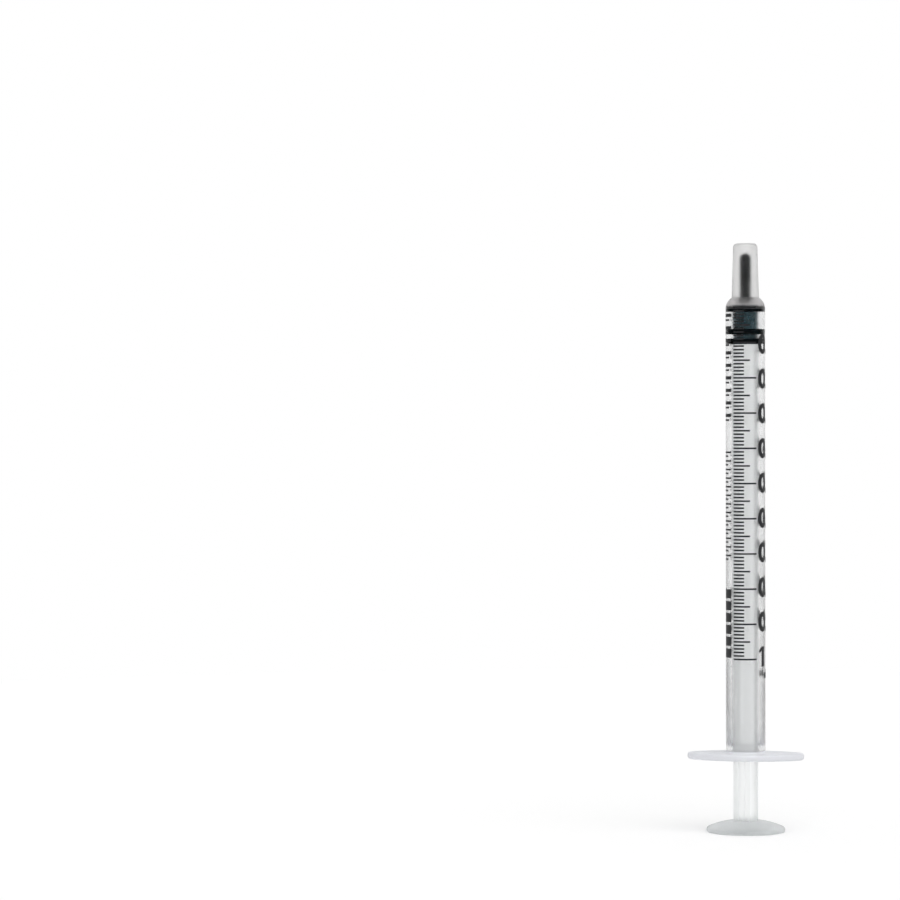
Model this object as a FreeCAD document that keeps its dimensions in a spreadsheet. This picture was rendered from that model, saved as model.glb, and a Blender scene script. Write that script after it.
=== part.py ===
"""A one-millilitre slip-tip syringe, standing on its thumb rest with the plunger pushed home.

Four pieces share one upright axis. +Z points to the tip, the finger flange spreads along X and the
origin is the middle of the thumb rest's outer face. Lengths are in millimetres, angles in degrees.
"""
import FreeCAD, Part
import math
import os
import re
import Sketcher

# Driving sizes: alias, value, what it measures
SIZES = (
    ("outer_dia", 6.5, "barrel, outside diameter"),
    ("bore_dia", 4.7, "barrel, bore diameter"),
    ("bore_depth", 74.60, "barrel, open end to the start of the front cone"),
    ("front_angle", 45.0, "front cone of the bore, half angle"),
    ("mouth_chamfer", 0.35, "lead-in at the open end"),
    ("bead_height", 0.10, "retaining bead, rise above the bore"),
    ("bead_length", 1.2, "retaining bead, length along the bore"),
    ("bead_place", 2.2, "open end to the middle of the retaining bead"),
    ("shoulder_radius", 2.0, "rounding between the tube and the tip"),
    ("shoulder_setback", 0.2, "start of the rounding behind the front cone"),
    ("tip_end_dia", 3.95, "slip tip, diameter at its end"),
    ("tip_length", 8.7, "slip tip, length"),
    ("tip_taper", 0.06, "slip tip, growth of the diameter for each unit of length"),
    ("tip_round", 0.6, "slip tip, rounding of the outer end"),
    ("channel_dia", 2.1, "channel through the tip, diameter"),
    ("channel_chamfer", 0.15, "channel, chamfer of the outlet"),
    ("flange_width", 19.2, "finger flange, across both wings"),
    ("flange_depth", 9.0, "finger flange, across its long sides"),
    ("flange_end_radius", 2.6, "finger flange, radius of the wing ends"),
    ("flange_thick", 1.1, "finger flange, thickness"),
    ("flange_edge", 0.3, "finger flange, chamfer of the rim"),
    ("flange_root", 0.4, "chamfer between the flange and the tube"),
    ("rest_dia", 12.9, "thumb rest, diameter"),
    ("rest_rim", 0.7, "thumb rest, thickness at the rim"),
    ("rest_crown", 1.85, "thumb rest, thickness at the rod"),
    ("rest_dome", 12.0, "thumb rest, radius of the domed inner side"),
    ("rest_edge", 0.2, "thumb rest, chamfer of the rim"),
    ("rest_gap", 10.05, "thumb rest to flange with the plunger pushed home"),
    ("grip_ring_pitch", 1.3, "grip rings on the thumb rest, radial step"),
    ("grip_ring_width", 0.5, "grip rings, width of each groove"),
    ("grip_ring_deep", 0.15, "grip rings, depth of each groove"),
    ("rib_thick", 1.4, "plunger rib, thickness"),
    ("rib_clearance", 0.06, "plunger ribs to the retaining bead"),
    ("rib_turn", 43.0, "plunger ribs, turn about the axis"),
    ("rib_root", 0.3, "rounding between the ribs"),
    ("disc_thick", 0.9, "front disc of the plunger, thickness"),
    ("disc_clearance", 0.15, "front disc to the bore"),
    ("neck_radius", 0.75, "neck behind the barbed head"),
    ("neck_length", 1.6, "neck, length"),
    ("barb_radius", 1.22, "barbed head, widest radius"),
    ("barb_length", 1.9, "barbed head, length"),
    ("barb_end_radius", 0.6, "barbed head, radius of its end"),
    ("socket_gap", 0.05, "barbed head to the socket in the stopper"),
    ("front_gap", 0.1, "stopper to the front cone with the plunger pushed home"),
    ("seal_clearance", 0.02, "sealing rings to the bore"),
    ("ring_width", 0.97, "sealing ring, width"),
    ("ring_edge", 0.14, "sealing ring, chamfer of its edges"),
    ("waist_length", 2.72, "waist between the front and the middle ring"),
    ("waist_radius", 2.07, "waist, radius"),
    ("groove_width", 0.61, "groove between the middle and the rear ring"),
    ("groove_radius", 1.95, "groove, radius"),
    ("nose_gap", 0.13, "nose of the stopper to the tip channel"),
    ("nose_setback", 1.75, "point of the nose behind the end of the tip"),
    ("nose_point", 0.85, "nose, length of the rounded point"),
    ("capacity", 1.0, "volume from the first mark to the last, millilitres"),
    ("zero_setback", 0.2, "zero mark behind the front edge of the stopper"),
    ("mark_height", 0.27, "graduation line, height"),
    ("ink_thick", 0.03, "graduation line, thickness of the ink"),
    ("print_turn", 5.0, "scale, turn about the axis from the broad side of the flange"),
    ("mark_start", 36.6, "left ends of the lines, angle before the middle of the scale"),
    ("short_sweep", 32.4, "line at each hundredth, angle round the barrel"),
    ("middle_sweep", 49.5, "line at each twentieth"),
    ("long_sweep", 69.3, "line at each tenth"),
)

# Worked-out sizes: alias, formula
WORKED_OUT = (
    ("outer_radius", "outer_dia / 2"),
    ("bore_radius", "bore_dia / 2"),
    ("channel_radius", "channel_dia / 2"),
    ("flange_rear", "rest_crown + rest_gap"),
    ("flange_front", "flange_rear + flange_thick"),
    ("flange_centre", "flange_width / 2 - flange_end_radius"),
    ("flange_side_radius", "(flange_centre ^ 2 + flange_depth ^ 2 / 4 - flange_end_radius ^ 2)"
     " / (flange_depth - 2 * flange_end_radius)"),
    ("bore_front", "flange_rear + bore_depth"),
    ("cone_front", "bore_front + (bore_radius - channel_radius) / tan(front_angle)"),
    ("bead_rear", "flange_rear + bead_place - bead_length / 2"),
    ("bead_front", "bead_rear + bead_length"),
    ("bead_round", "(bead_length ^ 2 / 4 + bead_height ^ 2) / (2 * bead_height)"),
    ("tip_end_radius", "tip_end_dia / 2"),
    ("tip_base_radius", "tip_end_radius + tip_length * tip_taper / 2"),
    ("shoulder_start", "bore_front - shoulder_setback"),
    ("shoulder_rise", "sqrt(shoulder_radius ^ 2 - (tip_base_radius - outer_radius + shoulder_radius) ^ 2)"),
    ("tip_base", "shoulder_start + shoulder_rise"),
    ("tip_end", "tip_base + tip_length"),
    ("rest_radius", "rest_dia / 2"),
    ("seal_front", "bore_front - front_gap"),
    ("front_ring_rear", "seal_front - ring_width"),
    ("middle_ring_front", "front_ring_rear - waist_length"),
    ("middle_ring_rear", "middle_ring_front - ring_width"),
    ("rear_ring_front", "middle_ring_rear - groove_width"),
    ("stopper_rear", "rear_ring_front - ring_width"),
    ("ring_radius", "bore_radius - seal_clearance"),
    ("nose_radius", "channel_radius - nose_gap"),
    ("nose_root", "seal_front + (ring_radius - ring_edge - nose_radius) / tan(front_angle)"),
    ("nose_end", "tip_end - nose_setback"),
    ("nose_round", "(nose_radius ^ 2 + nose_point ^ 2) / (2 * nose_point)"),
    ("rib_radius", "bore_radius - bead_height - rib_clearance"),
    ("disc_rear", "stopper_rear - disc_thick"),
    ("neck_front", "stopper_rear + neck_length"),
    ("barb_front", "neck_front + barb_length"),
    ("marked_length", "capacity * 1000 / (pi * bore_radius ^ 2)"),
    ("last_mark", "seal_front - zero_setback - marked_length"),
)

LINES_PER_ML = 100    # a line at each hundredth of a millilitre
MIDDLE_LINES_PER_ML = 20
LONG_LINES_PER_ML = 10
RIB_COUNT = 4
GRIP_RING_COUNT = 3
ALIASES = {row[0] for row in SIZES + WORKED_OUT}
SAME_PLACE = 1e-4    # two heights or radii closer than this are the same, mm


def bound(formula):
    """The formula with each alias named as a cell of the sheet, as objects of the document need it."""
    return re.sub(r"[a-z_]+", lambda word: "Sizes." + word[0] if word[0] in ALIASES else word[0], formula)


def make_sheet(doc):
    sheet = doc.addObject("Spreadsheet::Sheet", "Sizes")
    rows = [(alias, str(value), note) for alias, value, note in SIZES]
    rows += [(alias, "=" + formula, "worked out") for alias, formula in WORKED_OUT]
    for number, (alias, content, note) in enumerate(rows, start=1):
        sheet.set(f"A{number}", note)
        sheet.set(f"B{number}", content)
        sheet.setAlias(f"B{number}", alias)
    doc.recompute()
    return sheet


# Helpers for bodies, sketches and features


def new_body(doc, label):
    body = doc.addObject("PartDesign::Body", label)
    body.Label = label
    return body


def sketch_on(body, role, name, height=None):
    """A sketch on one of the body's own origin planes, lifted to a height where one is given."""
    plane = next(item for item in body.Origin.OriginFeatures if item.Role == role)
    sketch = body.newObject("Sketcher::SketchObject", name)
    sketch.AttachmentSupport = (plane, [""])
    sketch.MapMode = "FlatFace"
    if height:
        sketch.setExpression("AttachmentOffset.Base.z", bound(height))
    return sketch


def hold(sketch, kind, first, second, formula, name):
    """Binds a distance between two points to a formula. A formula that starts with - swaps the points."""
    if formula.startswith("-"):
        first, second, formula = second, first, formula[1:]
    value = sketch.evalExpression(bound(formula))
    index = sketch.addConstraint(Sketcher.Constraint(kind, *first, *second, float(value)))
    sketch.renameConstraint(index, name)
    sketch.setExpression(f"Constraints.{name}", bound(formula))


def hold_radius(sketch, arc, formula, name):
    value = sketch.evalExpression(bound(formula))
    index = sketch.addConstraint(Sketcher.Constraint("Radius", arc, float(value)))
    sketch.renameConstraint(index, name)
    sketch.setExpression(f"Constraints.{name}", bound(formula))


def bowed(start, end, radius):
    """The arc from start to end that swells to the right of its way by the radius, or to the left if negative."""
    chord = end - start
    half = chord.Length / 2
    rise = abs(radius) - math.sqrt(radius ** 2 - half ** 2)
    side = FreeCAD.Vector(chord.y, -chord.x, 0).normalize()
    middle = (start + end) / 2 + side * math.copysign(rise, radius)
    return Part.Arc(start, middle, end)


def add_outline(sketch, corners):
    """Draws a closed outline and holds each corner by its two distances from the origin.

    A corner is (across, up), or (across, up, radius) where the side that starts there is an arc. Going
    round against the clock, a plain radius swells outwards, and one that starts with - dips inwards.
    """
    spots = []
    for corner in corners:
        across, up = (float(sketch.evalExpression(bound(text))) for text in corner[:2])
        spots.append(FreeCAD.Vector(across, up, 0))
    sides = []
    for number, corner in enumerate(corners):
        start, end = spots[number], spots[(number + 1) % len(spots)]
        if len(corner) == 3:
            shape = bowed(start, end, float(sketch.evalExpression(bound(corner[2]))))
        else:
            shape = Part.LineSegment(start, end)
        side = sketch.addGeometry(shape, False)
        begins = 1 if sketch.getPoint(side, 1).isEqual(start, SAME_PLACE) else 2
        sides.append((side, begins))
    for number, corner in enumerate(corners):
        side, begins = sides[number]
        previous, previous_begins = sides[number - 1]
        here = (side, begins)
        sketch.addConstraint(Sketcher.Constraint("Coincident", previous, 3 - previous_begins, *here))
        for kind, text, axis in (("DistanceX", corner[0], -2), ("DistanceY", corner[1], -1)):
            if text == "0":
                sketch.addConstraint(Sketcher.Constraint("PointOnObject", *here, axis))
            else:
                hold(sketch, kind, (-1, 1), here, text, f"{kind[-1].lower()}_{number}")
        if len(corner) == 3:
            hold_radius(sketch, side, corner[2].lstrip("-"), f"radius_{number}")


def turned(body, name, corners, kind="Revolution", sweep=None):
    """A feature turned from an outline of (radius, height) corners, all round or by an angle."""
    sketch = sketch_on(body, "XZ_Plane", name + "_outline")
    add_outline(sketch, corners)
    feature = body.newObject("PartDesign::" + kind, name)
    feature.Profile = sketch
    feature.ReferenceAxis = (sketch, ["V_Axis"])
    feature.Angle = 360
    if sweep:
        feature.setExpression("Angle", bound(sweep))
    body.Document.recompute()
    return feature


def padded(body, name, sketch, length):
    feature = body.newObject("PartDesign::Pad", name)
    feature.Profile = sketch
    feature.setExpression("Length", bound(length))
    body.Document.recompute()
    return feature


def break_edges(body, name, base, edges, size, kind="Chamfer"):
    """Chamfers the edges of a feature that the list names, or rounds them where the kind is Fillet."""
    feature = body.newObject("PartDesign::" + kind, name)
    feature.Base = (base, edges)
    feature.setExpression("Radius" if kind == "Fillet" else "Size", bound(size))
    body.Document.recompute()
    return feature


def circles_at(feature, radius, height):
    """Names of the circular edges of a feature that have this radius and lie at this height."""
    wanted = (value_of(feature, radius), value_of(feature, height))
    names = []
    for number, edge in enumerate(feature.Shape.Edges, start=1):
        if not isinstance(edge.Curve, Part.Circle):
            continue
        found = (edge.Curve.Radius, edge.Curve.Center.z)
        if all(abs(a - b) < SAME_PLACE for a, b in zip(found, wanted)):
            names.append(f"Edge{number}")
    return names


def edges_flat_at(feature, height):
    """Names of the edges of a feature that lie wholly at this height."""
    level = value_of(feature, height)
    names = []
    for number, edge in enumerate(feature.Shape.Edges, start=1):
        box = edge.BoundBox
        if abs(box.ZMin - level) < SAME_PLACE and abs(box.ZMax - level) < SAME_PLACE:
            names.append(f"Edge{number}")
    return names


def value_of(item, formula):
    return float(item.evalExpression(bound(formula)))


# Barrel


def flange_plan(body):
    """Oval of four tangent arcs: two wing ends and two gently bowed long sides."""
    sketch = sketch_on(body, "XY_Plane", "flange_plan", "flange_rear")
    centre = value_of(sketch, "flange_centre")
    end_radius = value_of(sketch, "flange_end_radius")
    side_radius = value_of(sketch, "flange_side_radius")
    side_centre = side_radius - value_of(sketch, "flange_depth / 2")
    tangent = math.atan2(side_centre, centre)
    up = FreeCAD.Vector(0, 0, 1)

    def arc(x, y, radius, start, end):
        circle = Part.Circle(FreeCAD.Vector(x, y, 0), up, radius)
        return sketch.addGeometry(Part.ArcOfCircle(circle, start, end), False)

    right = arc(centre, 0, end_radius, -tangent, tangent)
    top = arc(0, -side_centre, side_radius, tangent, math.pi - tangent)
    left = arc(-centre, 0, end_radius, math.pi - tangent, math.pi + tangent)
    bottom = arc(0, side_centre, side_radius, math.pi + tangent, 2 * math.pi - tangent)
    arcs = (right, top, left, bottom)
    for one, following in zip(arcs, arcs[1:] + arcs[:1]):
        sketch.addConstraint(Sketcher.Constraint("Tangent", one, 2, following, 1))
    sketch.addConstraint(Sketcher.Constraint("PointOnObject", right, 3, -1))
    sketch.addConstraint(Sketcher.Constraint("Symmetric", left, 3, right, 3, -1, 1))
    sketch.addConstraint(Sketcher.Constraint("Equal", right, left))
    hold(sketch, "DistanceX", (-1, 1), (right, 3), "flange_centre", "end_place")
    hold_radius(sketch, right, "flange_end_radius", "end_radius")
    hold_radius(sketch, top, "flange_side_radius", "top_radius")
    hold_radius(sketch, bottom, "flange_side_radius", "bottom_radius")
    return sketch


def make_barrel(doc):
    """Tube, shoulder, tapered tip and oval flange in one moulding, hollowed from the open end."""
    body = new_body(doc, "barrel")
    flange = padded(body, "flange", flange_plan(body), "flange_thick")
    rims = edges_flat_at(flange, "flange_rear") + edges_flat_at(flange, "flange_front")
    break_edges(body, "flange_rim", flange, rims, "flange_edge")
    outside = turned(body, "outside", (
        ("0", "flange_rear"),
        ("outer_radius", "flange_rear"),
        ("outer_radius", "shoulder_start", "shoulder_radius"),
        ("tip_base_radius", "tip_base"),
        ("tip_end_radius", "tip_end"),
        ("0", "tip_end"),
    ))
    root = circles_at(outside, "outer_radius", "flange_front")
    root = break_edges(body, "flange_to_tube", outside, root, "flange_root")
    end = circles_at(root, "tip_end_radius", "tip_end")
    break_edges(body, "tip_end_round", root, end, "tip_round", kind="Fillet")
    hollow = turned(body, "hollow", (
        ("0", "flange_rear"),
        ("bore_radius + mouth_chamfer", "flange_rear"),
        ("bore_radius", "flange_rear + mouth_chamfer"),
        ("bore_radius", "bead_rear", "-bead_round"),
        ("bore_radius", "bead_front"),
        ("bore_radius", "bore_front"),
        ("channel_radius", "cone_front"),
        ("channel_radius", "tip_end"),
        ("0", "tip_end"),
    ), kind="Groove")
    outlet = circles_at(hollow, "channel_radius", "tip_end")
    break_edges(body, "outlet_chamfer", hollow, outlet, "channel_chamfer")
    return body


# Plunger rod


def make_plunger_rod(doc):
    """Thumb rest, four ribs in a cross, front disc, neck and barbed head in one moulding."""
    body = new_body(doc, "plunger_rod")
    turned(body, "thumb_rest", (
        ("0", "0"),
        ("rest_radius - rest_edge", "0"),
        ("rest_radius", "rest_edge"),
        ("rest_radius", "rest_rim - rest_edge"),
        ("rest_radius - rest_edge", "rest_rim", "rest_dome"),
        ("rib_radius", "rest_crown"),
        ("0", "rest_crown"),
    ))
    for number in range(1, GRIP_RING_COUNT + 1):
        middle = f"{number} * grip_ring_pitch"
        turned(body, f"grip_ring_{number}", (
            (f"{middle} - grip_ring_width / 2", "0"),
            (f"{middle} + grip_ring_width / 2", "0"),
            (middle, "grip_ring_deep"),
        ), kind="Groove")
    rib_plan = sketch_on(body, "XY_Plane", "rib_plan", "rest_rim")
    add_outline(rib_plan, (
        ("0", "-rib_thick / 2"),
        ("sqrt(rib_radius ^ 2 - rib_thick ^ 2 / 4)", "-rib_thick / 2", "rib_radius"),
        ("sqrt(rib_radius ^ 2 - rib_thick ^ 2 / 4)", "rib_thick / 2"),
        ("0", "rib_thick / 2"),
    ))
    rib = padded(body, "rib", rib_plan, "disc_rear - rest_rim")
    cross = body.newObject("PartDesign::PolarPattern", "cross")
    cross.Originals = [rib]
    cross.Axis = (rib_plan, ["N_Axis"])
    cross.Angle = 360
    cross.Occurrences = RIB_COUNT
    body.Tip = cross
    doc.recompute()
    break_edges(body, "rib_roots", cross, inner_corners(cross), "rib_root", kind="Fillet")
    turned(body, "head", (
        ("0", "disc_rear"),
        ("bore_radius - disc_clearance", "disc_rear"),
        ("bore_radius - disc_clearance", "stopper_rear"),
        ("neck_radius", "stopper_rear"),
        ("neck_radius", "neck_front"),
        ("barb_radius", "neck_front"),
        ("barb_end_radius", "barb_front"),
        ("0", "barb_front"),
    ))
    body.setExpression("Placement.Rotation.Angle", bound("rib_turn"))
    return body


def inner_corners(feature):
    """Names of the upright edges where two ribs meet."""
    reach = value_of(feature, "rib_thick") / math.sqrt(2)
    names = []
    for number, edge in enumerate(feature.Shape.Edges, start=1):
        box = edge.BoundBox
        upright = box.XLength < SAME_PLACE and box.YLength < SAME_PLACE
        if upright and abs(math.hypot(box.XMin, box.YMin) - reach) < SAME_PLACE:
            names.append(f"Edge{number}")
    return names


# Stopper


def ring_outline(rear, front, inner_rear, inner_front):
    """Corners of one sealing ring from its rear side to its front side, with chamfered edges."""
    return (
        (inner_rear, rear),
        ("ring_radius - ring_edge", rear),
        ("ring_radius", f"{rear} + ring_edge"),
        ("ring_radius", f"{front} - ring_edge"),
        ("ring_radius - ring_edge", front),
        (inner_front, front),
    )


def make_stopper(doc):
    """Three sealing rings, a waist, a conical front and the nose that fills the tip channel."""
    body = new_body(doc, "stopper")
    rear = ring_outline("stopper_rear", "rear_ring_front", "0", "groove_radius")
    middle = ring_outline("middle_ring_rear", "middle_ring_front", "groove_radius", "waist_radius")
    front = ring_outline("front_ring_rear", "seal_front", "waist_radius", "")
    turned(body, "rubber", rear + middle + front[:-1] + (
        ("nose_radius", "nose_root"),
        ("nose_radius", "nose_end - nose_point", "nose_round"),
        ("0", "nose_end"),
    ))
    turned(body, "socket", (
        ("0", "stopper_rear"),
        ("neck_radius + socket_gap", "stopper_rear"),
        ("neck_radius + socket_gap", "neck_front - socket_gap"),
        ("barb_radius + socket_gap", "neck_front - socket_gap"),
        ("barb_end_radius + socket_gap", "barb_front + socket_gap"),
        ("0", "barb_front + socket_gap"),
    ), kind="Groove")
    return body


# Print


def make_scale_marks(doc):
    """The graduation lines, each a thin bar of ink that wraps round the outside of the barrel."""
    body = new_body(doc, "scale_marks")
    body.AllowCompound = True
    for name, sweep, count in (
        ("short", "short_sweep", LINES_PER_ML),
        ("middle", "middle_sweep", MIDDLE_LINES_PER_ML),
        ("long", "long_sweep", LONG_LINES_PER_ML),
    ):
        line = turned(body, f"{name}_line", (
            ("outer_radius", "last_mark - mark_height / 2"),
            ("outer_radius + ink_thick", "last_mark - mark_height / 2"),
            ("outer_radius + ink_thick", "last_mark + mark_height / 2"),
            ("outer_radius", "last_mark + mark_height / 2"),
        ), sweep=sweep)
        lines = body.newObject("PartDesign::LinearPattern", f"{name}_lines")
        lines.Originals = [line]
        lines.Direction = (line.Profile[0], ["V_Axis"])
        lines.setExpression("Length", bound("marked_length"))
        lines.Occurrences = round(count * value_of(lines, "capacity")) + 1
        body.Tip = lines
        doc.recompute()
    body.setExpression("Placement.Rotation.Angle", bound("print_turn - mark_start - 90"))
    return body


def check(doc, bodies):
    """Stops with a message if an object failed or a piece has no sound solid."""
    for item in doc.Objects:
        if {"Invalid", "Error"} & set(item.State):
            raise RuntimeError(f"{item.Name} failed: {item.State} {item.getStatusString()}")
    for body in bodies:
        if body.Shape.isNull() or not body.Shape.isValid() or not body.Shape.Solids:
            raise RuntimeError(f"{body.Label} has no sound solid")


def main():
    doc = FreeCAD.newDocument("slip_tip_syringe")
    make_sheet(doc)
    bodies = [make_barrel(doc), make_plunger_rod(doc), make_stopper(doc), make_scale_marks(doc)]
    doc.recompute()
    check(doc, bodies)
    os.makedirs("parts", exist_ok=True)
    for body in bodies:
        body.Shape.exportStep(f"parts/{body.Label}.step")
        box = body.Shape.BoundBox
        print(f"{body.Label}: {len(body.Shape.Solids)} solids, {body.Shape.Volume:.2f} mm3,"
              f" z {box.ZMin:.2f} to {box.ZMax:.2f}")


main()
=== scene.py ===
"""A one-millilitre slip-tip syringe: smooth mouldings, a black stopper and a printed scale.

Every piece stands upright on the frame's own axis, with the tip at the top. Lengths are in metres.
"""
import math
import bmesh
import bpy
from bpy.props import FloatProperty, FloatVectorProperty, PointerProperty
from mathutils import Matrix, Vector


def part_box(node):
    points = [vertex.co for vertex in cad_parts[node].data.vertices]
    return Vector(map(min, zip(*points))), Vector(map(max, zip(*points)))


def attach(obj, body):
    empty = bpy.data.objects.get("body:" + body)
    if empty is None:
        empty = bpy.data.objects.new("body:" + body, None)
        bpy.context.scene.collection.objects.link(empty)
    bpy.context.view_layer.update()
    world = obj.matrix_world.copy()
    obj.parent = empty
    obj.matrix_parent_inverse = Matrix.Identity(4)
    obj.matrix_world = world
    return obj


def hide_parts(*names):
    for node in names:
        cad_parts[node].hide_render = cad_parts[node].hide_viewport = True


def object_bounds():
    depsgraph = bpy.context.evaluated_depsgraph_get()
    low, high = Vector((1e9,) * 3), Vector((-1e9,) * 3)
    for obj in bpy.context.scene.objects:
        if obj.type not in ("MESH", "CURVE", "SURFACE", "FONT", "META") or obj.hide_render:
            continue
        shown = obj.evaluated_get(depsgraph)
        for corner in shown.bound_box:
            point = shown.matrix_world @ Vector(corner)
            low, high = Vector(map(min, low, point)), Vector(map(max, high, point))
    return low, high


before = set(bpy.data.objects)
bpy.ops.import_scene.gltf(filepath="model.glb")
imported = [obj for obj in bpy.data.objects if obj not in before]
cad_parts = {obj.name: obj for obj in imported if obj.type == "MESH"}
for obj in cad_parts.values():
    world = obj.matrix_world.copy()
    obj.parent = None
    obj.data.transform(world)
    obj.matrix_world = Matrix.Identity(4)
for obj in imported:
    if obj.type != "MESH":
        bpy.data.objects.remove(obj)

bl_info = {
    "name": "Slip-tip syringe",
    "version": (1, 0, 0),
    "blender": (4, 5, 0),
    "location": "3D View > Sidebar > Syringe",
    "description": "Builds the barrel, plunger, stopper and print of a slim syringe",
    "category": "Add Mesh",
}

CAD_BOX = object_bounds()
BARREL_LOW, BARREL_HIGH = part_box("barrel")
ROD_LOW, ROD_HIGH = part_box("plunger_rod")
STOPPER_LOW, STOPPER_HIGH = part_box("stopper")
MARKS_LOW, MARKS_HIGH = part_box("scale_marks")

MM = 0.001
SAME_PLACE = 1e-7
ON_RING = 1e-6
SHARP_ANGLE = math.radians(40)

# How finely curves are cut
ROUND_STEPS = 144
ARC_STEPS = 8
FLOOR_STEPS = 96
LETTER_STEPS = 4
STRIP_ANGLE = math.radians(5)

GRIP_RINGS = 3
TENTHS = 10

# A face belongs to the bore where its normal leans towards the axis by more than this
LEAN_IN = 0.1

# How much of the ink's thickness lies below the surface of the tube
INK_BELOW = 0.25

# Flag of the last number: its tilt, and how far left and down its middle stands, as shares of its length
FLAG_TILT = math.radians(50)
FLAG_LEFT = 0.3
FLAG_DOWN = 0.45

# Side bars: top of each run in millimetres, how often its bars repeat, and each bar's height, gap and width
SIDE_BARS = (
    (85.2, 9, ((0.55, 0.35, 1.0), (0.3, 0.85, 0.75))),
    (62.6, 13, ((0.28, 0.35, 1.0), (0.28, 0.5, 0.6))),
    (40.0, 6, ((1.5, 0.45, 1.0),)),
)

# Zones of the barrel in the order of its materials: satin, clearness and glint of each
BARREL_ZONES = {
    "tube": (0.12, 1.0, 1.0),
    "tip": (0.4, 1.0, 1.0),
    "shoulder": (0.35, 0.96, 1.0),
    "flange": (0.5, 0.25, 1.0),
    "bore": (0.32, 1.0, 0.15),
}

# Skins of the stopper in the order of its materials: darkness and gloss of each. The siliconed skin keeps
# the full, lighter colour as a painted sheen; the others scale it down to the rubber's own black
RUBBER_SKINS = {
    "siliconed": (1.0, 0.3),
    "pressed": (0.08, 0.0),
    "nose": (0.08, 0.1),
}

# Indices of refraction. The rod's is low, which makes its solid ribs look milky and not dark
BARREL_IOR = 1.49
ROD_IOR = 1.25
RUBBER_IOR = 1.45
INK_IOR = 1.4

# Noise: its cells for each metre, and the part of its range that is used
CLOUDS = 250.0
SATIN_GRAIN = 400.0
RUBBER_GRAIN = 1200.0
INK_GRAIN = 6000.0
NOISE_SPAN = (0.3, 0.7)

# Sockets of a Mix node that take and give colours
FIRST_COLOUR, SECOND_COLOUR, MIXED_COLOUR = 6, 7, 2


# Sizes and colours that a user may change


def length(name, description, default):
    """A length of nought or more."""
    return FloatProperty(
        name=name, description=description, default=default, min=0.0, precision=5,
        unit="LENGTH", subtype="DISTANCE")


def angle(name, description, degrees):
    """An angle, given here in degrees."""
    return FloatProperty(
        name=name, description=description, default=math.radians(degrees), unit="ROTATION", subtype="ANGLE")


def share(name, description, default):
    """A share from nought to one."""
    return FloatProperty(
        name=name, description=description, default=default, min=0.0, max=1.0, subtype="FACTOR")


def colour(name, description, default):
    """A colour without transparency."""
    return FloatVectorProperty(
        name=name, description=description, default=default, size=3, min=0.0, max=1.0, subtype="COLOR")


class BarrelSizes(bpy.types.PropertyGroup):
    tube_radius: length("Tube radius", "Outside radius of the tube", 3.25 * MM)
    bore_radius: length("Bore radius", "Radius of the bore", 2.35 * MM)
    bore_depth: length("Bore depth", "From the open end to the front cone", 74.6 * MM)
    mouth_chamfer: length("Mouth chamfer", "Lead-in at the open end", 0.35 * MM)
    bead_height: length("Bead height", "Rise of the bead that keeps the plunger in", 0.1 * MM)
    bead_length: length("Bead length", "Length of that bead along the bore", 1.2 * MM)
    bead_place: length("Bead place", "From the open end to the middle of the bead", 2.2 * MM)
    shoulder_radius: length("Shoulder radius", "Rounding between the tube and the tip", 2.3 * MM)
    shoulder_setback: length("Shoulder setback", "Start of the shoulder behind the front cone", 0.55 * MM)
    tip_length: length("Tip length", "Length of the tapered tip", 8.883 * MM)
    tip_base_radius: length("Tip base radius", "Radius of the tip at the shoulder", 2.241 * MM)
    tip_end_radius: length("Tip end radius", "Radius of the tip at its end", 1.975 * MM)
    tip_round: length("Tip rounding", "Rounding of the end of the tip", 0.6 * MM)
    channel_radius: length("Channel radius", "Radius of the channel through the tip", 1.05 * MM)
    channel_round: length("Channel rounding", "Rounding of the outlet", 0.2 * MM)
    flange_thickness: length("Flange thickness", "Thickness of the finger flange", 1.1 * MM)
    flange_end_radius: length("Wing radius", "Radius of each wing's end", 2.6 * MM)
    flange_edge: length("Flange rounding", "Rounding of the rim of the flange", 0.42 * MM)
    flange_root: length("Root rounding", "Rounding between the flange and the tube", 0.4 * MM)


class RodSizes(bpy.types.PropertyGroup):
    rest_rim: length("Rim thickness", "Thickness of the thumb rest at its rim", 0.7 * MM)
    rest_crown: length("Crown thickness", "Thickness of the thumb rest at the rod", 1.85 * MM)
    rest_bow: length("Dome", "Swell of the inner side of the thumb rest", 0.19 * MM)
    rest_edge: length("Rim rounding", "Rounding of the rim of the thumb rest", 0.25 * MM)
    grip_pitch: length("Grip ring pitch", "Radial step of the grip rings", 1.3 * MM)
    grip_width: length("Grip ring width", "Width of each grip ring", 0.5 * MM)
    grip_depth: length("Grip ring depth", "Depth of each grip ring", 0.15 * MM)
    rib_radius: length("Rib radius", "Reach of the ribs from the axis", 2.19 * MM)
    rib_thickness: length("Rib thickness", "Thickness of each rib", 1.4 * MM)
    rib_root: length("Rib root rounding", "Rounding between two ribs", 0.3 * MM)
    rib_edge: length("Rib edge rounding", "Rounding of the long edges of the ribs", 0.12 * MM)
    rib_turn: angle("Rib turn", "Turn of the ribs about the axis", 43.0)
    disc_radius: length("Disc radius", "Radius of the disc that pushes the stopper", 2.2 * MM)
    disc_thickness: length("Disc thickness", "Thickness of that disc", 0.9 * MM)
    disc_edge: length("Disc rounding", "Rounding of the rim of the disc", 0.12 * MM)
    neck_radius: length("Neck radius", "Radius of the neck behind the barb", 0.75 * MM)
    neck_length: length("Neck length", "Length of the neck", 1.6 * MM)
    barb_radius: length("Barb radius", "Widest radius of the barbed head", 1.22 * MM)
    barb_length: length("Barb length", "Length of the barbed head", 1.9 * MM)
    barb_end_radius: length("Barb end radius", "Radius of the end of the barbed head", 0.6 * MM)


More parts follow.
